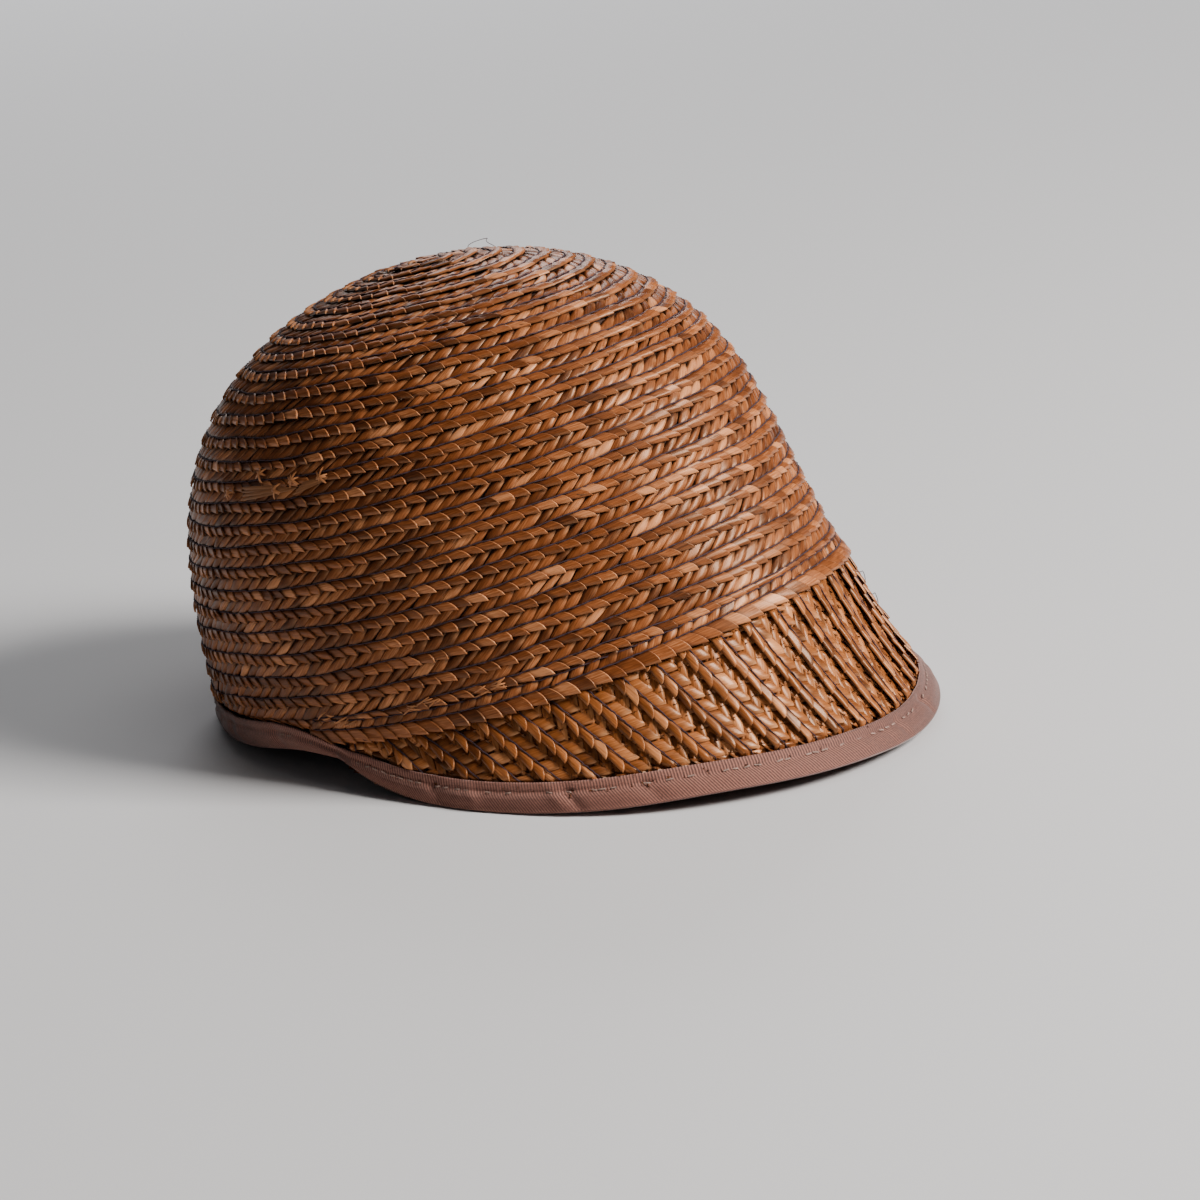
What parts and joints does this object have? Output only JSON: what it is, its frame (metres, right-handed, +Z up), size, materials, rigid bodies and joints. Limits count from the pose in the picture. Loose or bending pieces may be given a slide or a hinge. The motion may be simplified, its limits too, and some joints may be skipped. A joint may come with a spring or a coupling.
{
  "type": "straw hat",
  "caption": "Dome-shaped straw cap of lapped plait rows with a short ribbed straw peak, a plait row lapping over the joint and a ribbon folded over the whole rim.",
  "frame": {"origin": "middle of the cap's box at the level of the surface it rests on", "axes": "+Z up from that surface, -Y towards the peak, +X towards the wearer's left"},
  "size_m": [0.1812, 0.243, 0.1468],
  "materials": {
    "crown_straw": "dyed straw plait, satin sheen",
    "peak_straw": "dyed straw plait, glossier",
    "rim_ribbon": "ribbed ribbon, matt"
  },
  "bodies": {
    "root": {"crown": "crown_straw", "lap_row": "crown_straw", "peak": "peak_straw", "rim_ribbon": "rim_ribbon"}
  },
  "joints": []
}
